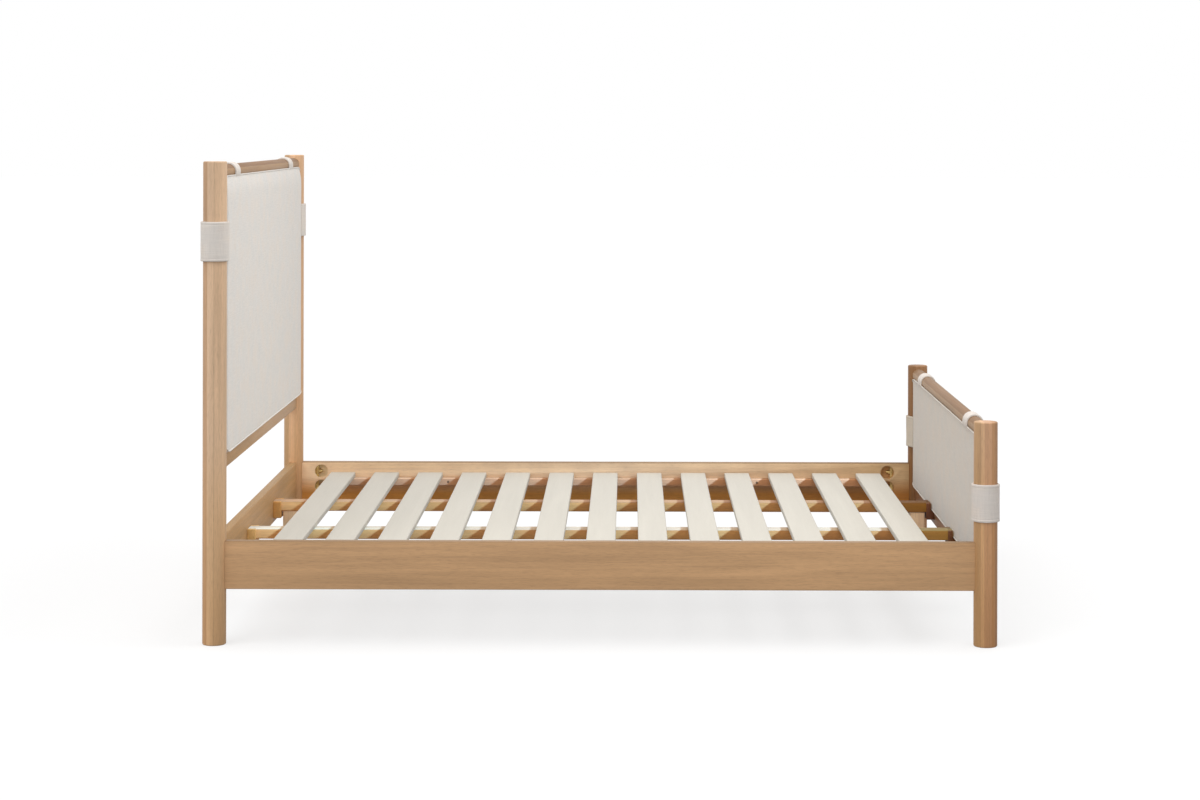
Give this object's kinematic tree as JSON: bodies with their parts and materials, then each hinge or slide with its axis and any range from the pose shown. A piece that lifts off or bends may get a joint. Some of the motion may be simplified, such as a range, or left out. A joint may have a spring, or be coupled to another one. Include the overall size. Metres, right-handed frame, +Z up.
{
  "type": "upholstered panel bed",
  "caption": "Bed frame with round oak posts, flat rails and a slatted deck, and padded fabric head and foot panels that hang from top dowels by loops and are strapped to the posts.",
  "frame": {"origin": "on the floor under the middle of the bed", "axes": "+X runs along the bed from the head to the foot, +Y across it to the right-hand side as seen from the foot, and +Z up"},
  "size_m": [2.1586, 1.6446, 1.302],
  "materials": {
    "oak": "clear satin lacquer on oak, laminated posts",
    "poplar": "planed, unfinished",
    "linen": "off-white plain weave",
    "yellow_zinc": "yellow passivated zinc on steel"
  },
  "bodies": {
    "root": {"post_head_left": "oak", "post_head_right": "oak", "post_foot_left": "oak", "post_foot_right": "oak", "side_rail_left": "oak", "side_rail_right": "oak", "head_cross_rail": "oak", "head_panel_rail": "oak", "foot_cross_rail": "oak", "head_top_dowel": "oak", "foot_top_dowel": "oak", "head_panel": "linen", "foot_panel": "linen", "head_strap_left": "linen", "head_strap_right": "linen", "foot_strap_left": "linen", "foot_strap_right": "linen", "head_loop_left": "linen", "head_loop_right": "linen", "foot_loop_left": "linen", "foot_loop_right": "linen", "ledger_left": "oak", "ledger_right": "oak", "centre_rail_left": "oak", "centre_rail_right": "oak", "centre_leg_head": "oak", "centre_leg_foot": "oak", "rail_bracket_head_left": "oak", "rail_bracket_head_right": "oak", "rail_bracket_foot_left": "oak", "rail_bracket_foot_right": "oak", "rail_bolt_head_left_upper": "yellow_zinc", "rail_bolt_head_left_lower": "yellow_zinc", "rail_bolt_head_right_upper": "yellow_zinc", "rail_bolt_head_right_lower": "yellow_zinc", "rail_bolt_foot_left_upper": "yellow_zinc", "rail_bolt_foot_left_lower": "yellow_zinc", "rail_bolt_foot_right_upper": "yellow_zinc", "rail_bolt_foot_right_lower": "yellow_zinc", "half_moon_nut_head_left_upper": "yellow_zinc", "half_moon_nut_head_left_lower": "yellow_zinc", "half_moon_nut_head_right_upper": "yellow_zinc", "half_moon_nut_head_right_lower": "yellow_zinc", "half_moon_nut_foot_left_upper": "yellow_zinc", "half_moon_nut_foot_left_lower": "yellow_zinc", "half_moon_nut_foot_right_upper": "yellow_zinc", "half_moon_nut_foot_right_lower": "yellow_zinc", "slat_01": "poplar", "slat_02": "poplar", "slat_03": "poplar", "slat_04": "poplar", "slat_05": "poplar", "slat_06": "poplar", "slat_07": "poplar", "slat_08": "poplar", "slat_09": "poplar", "slat_10": "poplar", "slat_11": "poplar", "slat_12": "poplar", "slat_13": "poplar"}
  },
  "joints": []
}
